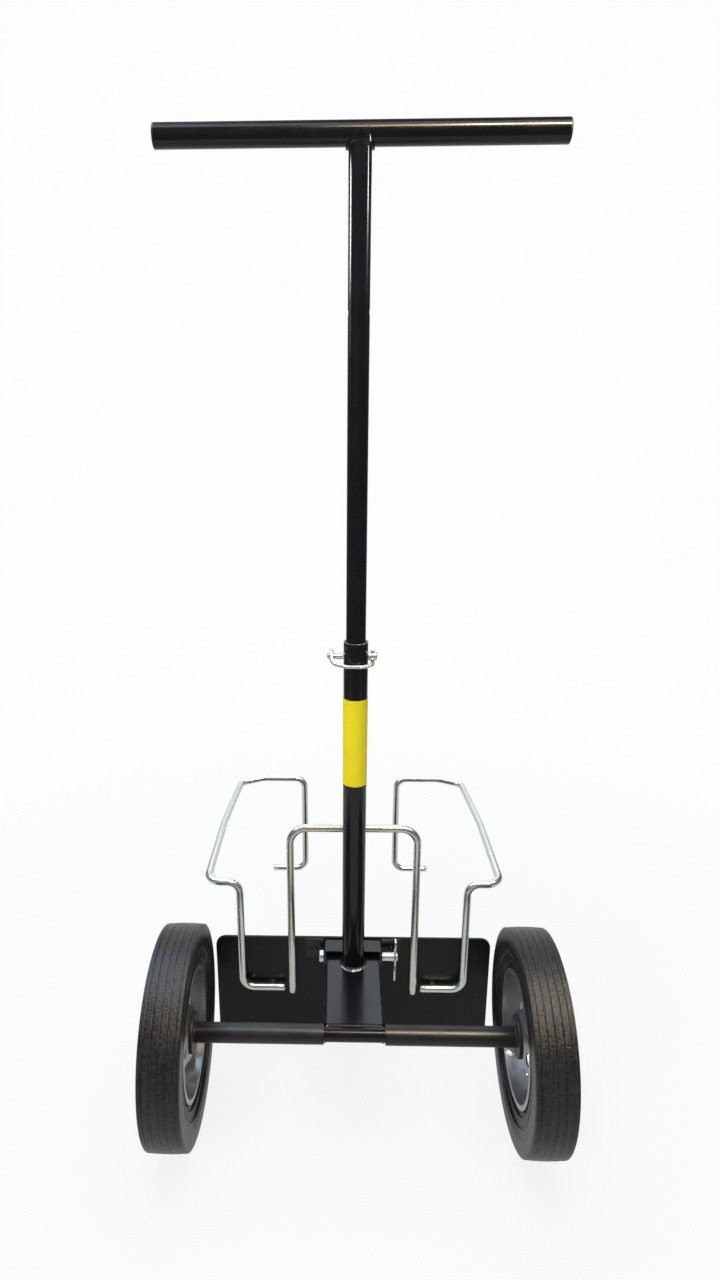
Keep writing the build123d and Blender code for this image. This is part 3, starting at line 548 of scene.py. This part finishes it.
def makeStage(look):
    shape = bmesh.new()
    line = [(-look["half"], 0.0), (look["back"], 0.0)]
    for i in range(1, look["turnSteps"] + 1):
        a = math.pi / 2 * i / look["turnSteps"]
        line.append((look["back"] + look["turn"] * math.sin(a), look["turn"] * (1 - math.cos(a))))
    line.append((look["back"] + look["turn"], look["height"]))
    rows = [[shape.verts.new((x, y, z)) for x in (-look["half"], look["half"])] for y, z in line]
    for a, b in zip(rows, rows[1:]):
        shape.faces.new((a[0], a[1], b[1], b[0]))
    mesh = bpy.data.meshes.new("paperSweep")
    shape.to_mesh(mesh)
    shape.free()
    mesh.shade_smooth()
    mesh.materials.append(makePaper(look))
    sweep = bpy.data.objects.new("paperSweep", mesh)
    scene.collection.objects.link(sweep)


makeStage(stageLook)

# studio flags that only the gloss mirrors, so that the black coat stays black
flagLook = {"dark": (0.15, 0.15, 0.17)}
flags = {
    "frontFlag": {"at": (0.0, -0.98, 1.25), "size": (3.0, 2.5), "faces": "Y"},
    "leftFlag": {"at": (-1.15, 0.25, 1.25), "size": (2.5, 2.5), "faces": "X"},
    "rightFlag": {"at": (1.15, 0.25, 1.25), "size": (2.5, 2.5), "faces": "X"},
    "backFlag": {"at": (0.0, 0.45, 1.78), "size": (2.0, 0.9), "faces": "Y"},
    "topFlag": {"at": (0.0, 0.15, 2.3), "size": (1.6, 0.9), "faces": "Z"},
}
facing = {"X": lambda a, b: (0, a, b), "Y": lambda a, b: (a, 0, b), "Z": lambda a, b: (a, b, 0)}


def makeCloth(name, shade):
    cloth = bpy.data.materials.new(name)
    cloth.use_nodes = True
    tree = cloth.node_tree
    glow = addNode(tree, "ShaderNodeEmission", {"Color": rgb(shade), "Strength": 1.0})
    join(tree, glow, "Emission", tree.nodes["Material Output"], "Surface")
    return cloth


flagCloth = makeCloth("darkCloth", flagLook["dark"])
for name, flag in flags.items():
    w, h = flag["size"][0] / 2, flag["size"][1] / 2
    corners = [facing[flag["faces"]](a, b) for a, b in ((-w, -h), (w, -h), (w, h), (-w, h))]
    mesh = bpy.data.meshes.new(name)
    mesh.from_pydata(corners, [], [(0, 1, 2, 3)])
    mesh.materials.append(flagCloth)
    card = bpy.data.objects.new(name, mesh)
    card.location = flag["at"]
    scene.collection.objects.link(card)
    card.visible_camera = False
    card.visible_diffuse = False
    card.visible_shadow = False
    card.visible_transmission = False

worldLook = {"colour": (0.92, 0.95, 1.0), "strength": 0.30, "seen": (0.99, 0.99, 0.99)}


def makeWorld(look):
    world = bpy.data.worlds.new("studio")
    scene.world = world
    world.use_nodes = True
    tree = world.node_tree
    light = tree.nodes["Background"]
    light.inputs["Color"].default_value = rgb(look["colour"])
    light.inputs["Strength"].default_value = look["strength"]
    white = addNode(tree, "ShaderNodeBackground", {"Color": rgb(look["seen"]), "Strength": 1.0})
    path, through = seenRays(tree)
    showMix(tree, through, light, white, "World Output")


makeWorld(worldLook)

lamps = {
    "topBox": {"at": (0.0, -0.2, 3.0), "to": (0.0, 0.0, 0.5), "size": (2.6, 2.6), "power": 42.0,
               "colour": (0.97, 0.98, 1.0)},
    "leftStrip": {"at": (-1.103, 0.087, 1.36), "to": (-0.053, -0.053, 0.96), "size": (0.22, 0.366), "power": 15.0,
                  "colour": (0.84, 0.91, 1.0), "glossOnly": True},
    "rightStrip": {"at": (1.115, -0.187, 1.435), "to": (0.065, -0.067, 0.955), "size": (0.19, 0.208), "power": 9.6,
                   "colour": (0.88, 0.93, 1.0), "glossOnly": True},
    "frontFill": {"at": (-1.3, -2.6, 1.8), "to": (0.0, 0.0, 0.4), "size": (1.2, 1.2), "power": 38.0,
                  "colour": (0.95, 0.97, 1.0)},
    "skyBox": {"at": (0.0, 2.0, 2.6), "to": (0.0, -0.2, 0.2), "size": (2.4, 1.2), "power": 16.0,
               "colour": (0.78, 0.88, 1.0)},
    "warmLamp": {"at": (0.62, -0.93, 2.02), "to": (0.62, -0.11, 1.2), "size": (0.76, 0.30), "power": 70.0,
                 "colour": (1.0, 0.83, 0.57), "glossOnly": True},
    "warmTail": {"at": (0.11, -0.93, 2.02), "to": (0.11, -0.11, 1.2), "size": (0.26, 0.24), "power": 6.0,
                 "colour": (1.0, 0.83, 0.57), "glossOnly": True},
    "highBox": {"at": (-0.82, 0.10, 2.60), "to": (-0.22, -0.2, 0.2), "size": (1.0, 0.9), "power": 62.0,
                "colour": (0.55, 0.73, 1.0), "glossOnly": True},
}
for name, lamp in lamps.items():
    light = bpy.data.lights.new(name, "AREA")
    light.shape = "RECTANGLE"
    light.size, light.size_y = lamp["size"]
    light.energy = lamp["power"]
    light.color = lamp["colour"]
    holder = bpy.data.objects.new(name, light)
    scene.collection.objects.link(holder)
    holder.visible_diffuse = not lamp.get("glossOnly", False)
    aim = Vector(lamp["to"]) - Vector(lamp["at"])
    holder.matrix_world = Matrix.Translation(lamp["at"]) @ aim.to_track_quat("-Z", "Y").to_matrix().to_4x4()
print("stage,", len(flags), "flags and", len(lamps), "lamps")


# camera, as far off and as high as the picture was taken from; its angles are taken against the mast

cameraSet = {"at": (-20.295, -842.014, 927.699), "yaw": -1.496, "pitch": 16.853, "roll": 0.276,
             "lens": 22.3128, "sensor": 36.0, "shift": 0.0311, "clip": 0.01}


def makeCamera(look):
    yaw, pitch, roll = (math.radians(look[k]) for k in ("yaw", "pitch", "roll"))
    ahead = Vector((math.sin(yaw) * math.cos(pitch), math.cos(yaw) * math.cos(pitch), -math.sin(pitch)))
    right = Vector((math.cos(yaw), -math.sin(yaw), 0.0))
    down = ahead.cross(right)
    turnedRight = math.cos(roll) * right + math.sin(roll) * down
    turnedDown = -math.sin(roll) * right + math.cos(roll) * down
    lens = bpy.data.cameras.new("pictureCamera")
    lens.sensor_fit = "AUTO"
    lens.sensor_width = look["sensor"]
    lens.lens = look["lens"]
    lens.shift_x = look["shift"]
    lens.clip_start = look["clip"]
    holder = bpy.data.objects.new("pictureCamera", lens)
    scene.collection.objects.link(holder)
    turn = Matrix((turnedRight, -turnedDown, -ahead)).transposed().to_4x4()
    holder.matrix_world = Matrix.Translation(leaned(*look["at"])) @ leanTurn @ turn
    scene.camera = holder


makeCamera(cameraSet)
scene.view_settings.view_transform = "Standard"
print("camera set")
